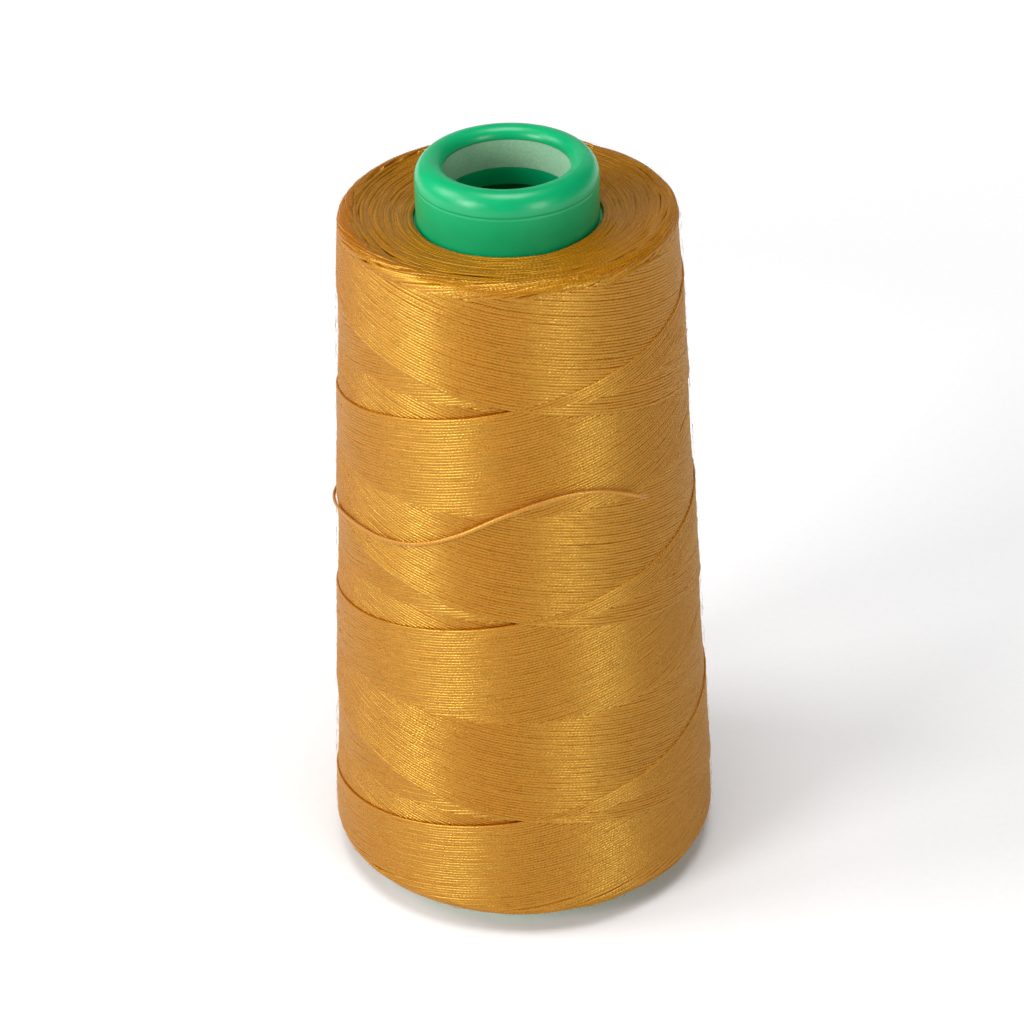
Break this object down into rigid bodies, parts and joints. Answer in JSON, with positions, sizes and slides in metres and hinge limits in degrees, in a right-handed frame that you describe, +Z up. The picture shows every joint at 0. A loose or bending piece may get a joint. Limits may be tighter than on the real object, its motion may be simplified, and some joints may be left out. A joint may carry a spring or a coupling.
{
  "type": "spool of thread",
  "caption": "Cone of sewing thread cross-wound on a hollow tapered plastic core, with a rounded collar, a flanged foot and a loose thread end.",
  "frame": {"origin": "centre of the cone's base, on the surface that it stands on", "axes": "+Z up along the cone's axis; -Y is the front, where the thread's free end lies"},
  "size_m": [0.0588, 0.0588, 0.1156],
  "materials": {
    "core_plastic": "smooth moulded green plastic, slightly translucent, softly glossy",
    "thread": "golden brown two-ply spun polyester sewing thread with a soft sheen",
    "ticket_paper": "uncoated pale green paper"
  },
  "bodies": {
    "root": {"cone_core": "core_plastic", "thread_package": "thread", "inner_ticket": "ticket_paper", "thread_tail": "thread"}
  },
  "joints": []
}
